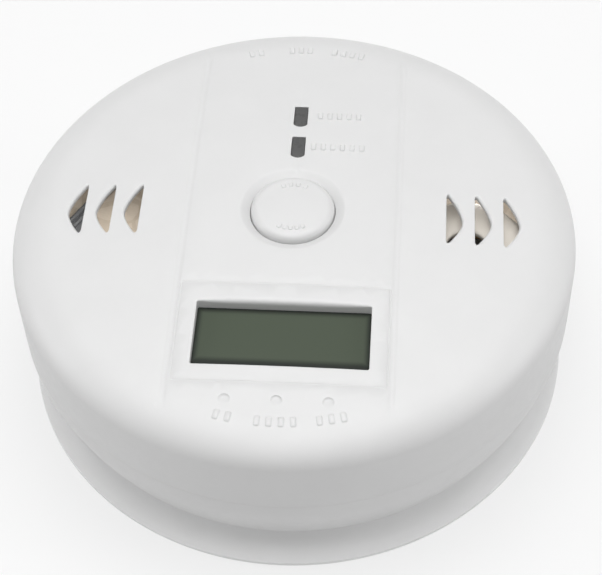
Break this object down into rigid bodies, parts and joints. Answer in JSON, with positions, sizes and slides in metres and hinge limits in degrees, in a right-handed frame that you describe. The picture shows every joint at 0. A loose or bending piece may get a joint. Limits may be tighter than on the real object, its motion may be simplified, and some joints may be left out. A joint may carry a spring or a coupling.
{
  "type": "carbon monoxide detector",
  "caption": "Round surface-mounted carbon monoxide detector with test button, display, indicator lights, side vents and a twist-off mounting base.",
  "frame": {"origin": "centre of the mounting base's underside", "axes": "+Z out of the face, +Y towards the top of the face where the indicator lights are, +X to the right of a reader"},
  "size_m": [0.1, 0.1, 0.0375],
  "materials": {
    "case_plastic": "fine satin moulded ABS",
    "base_plastic": "fine satin moulded ABS",
    "button_plastic": "fine satin moulded ABS",
    "smoked_lens": "smoked, half gloss",
    "display_window": "clear, faintly green",
    "display_panel": "dark green-grey liquid crystal cell, switched off",
    "display_diffuser": "frosted",
    "zebra_strip": "banded silicone",
    "black_plastic": "satin",
    "plunger_plastic": "satin",
    "red_led": "tinted epoxy, unlit",
    "green_led": "tinted epoxy, unlit",
    "circuit_board": "tan phenolic board",
    "sensor_can": "dark grey filled plastic cell",
    "buzzer_cup": "cream satin plastic",
    "brass": "plain brass disc",
    "red_wire": "PVC insulation",
    "black_wire": "PVC insulation",
    "chip": "moulded epoxy",
    "resistor": "glazed ceramic",
    "capacitor_sleeve": "shrink sleeve",
    "coil": "enamelled copper on ferrite",
    "steel": "zinc plated steel",
    "nickel_plate": "nickel plated spring steel",
    "battery_jacket": "plain dark jacket, no marks"
  },
  "bodies": {
    "base": {"mounting_base": "base_plastic"},
    "detector": {"front_cover": "case_plastic", "rear_housing": "case_plastic", "alarm_light_window": "smoked_lens", "operate_light_window": "smoked_lens", "alarm_led": "red_led", "operate_led": "green_led", "display_window": "display_window", "display_panel": "display_panel", "display_diffuser": "display_diffuser", "display_zebra_strip_upper": "zebra_strip", "display_zebra_strip_lower": "zebra_strip", "display_frame": "black_plastic", "circuit_board": "circuit_board", "co_sensor": "sensor_can", "sensor_lead_1": "black_wire", "sensor_lead_2": "black_wire", "buzzer_housing": "buzzer_cup", "piezo_disc": "brass", "buzzer_lead_red": "red_wire", "buzzer_lead_black": "black_wire", "switch_body": "black_plastic", "microcontroller": "chip", "memory_chip": "chip", "driver_chip": "chip", "chip_resistor_1": "resistor", "chip_resistor_2": "resistor", "chip_resistor_3": "resistor", "chip_resistor_4": "resistor", "storage_capacitor": "capacitor_sleeve", "step_up_coil": "coil", "clock_crystal": "steel", "battery_1": "battery_jacket", "battery_2": "battery_jacket", "battery_3": "battery_jacket", "battery_spring_1": "steel", "battery_spring_2": "steel", "battery_spring_3": "steel", "battery_link_1": "nickel_plate", "battery_link_2": "nickel_plate", "battery_terminal_negative": "nickel_plate", "battery_terminal_positive": "nickel_plate", "case_screw_1": "steel", "case_screw_2": "steel", "case_screw_3": "steel", "case_screw_4": "steel", "board_screw_1": "steel", "board_screw_2": "steel", "board_screw_3": "steel"},
    "button": {"test_button": "button_plastic"},
    "plunger": {"switch_plunger": "plunger_plastic"}
  },
  "joints": [
    {"name": "base_twist", "type": "hinge", "parent": "base", "child": "detector", "pos_m": [0, 0, 0], "axis": [0, 0, 1], "range_deg": [0, 15]},
    {"name": "button_press", "type": "slide", "parent": "detector", "child": "button", "axis": [0, 0, -1], "range_m": [0, 0.0008], "stiffness_N_per_m": 1500},
    {"name": "plunger_press", "type": "slide", "parent": "detector", "child": "plunger", "axis": [0, 0, -1], "range_m": [0, 0.0003]}
  ],
  "couplings": [
    {"joint": "plunger_press", "follows": "button_press", "ratio": 0.375}
  ]
}
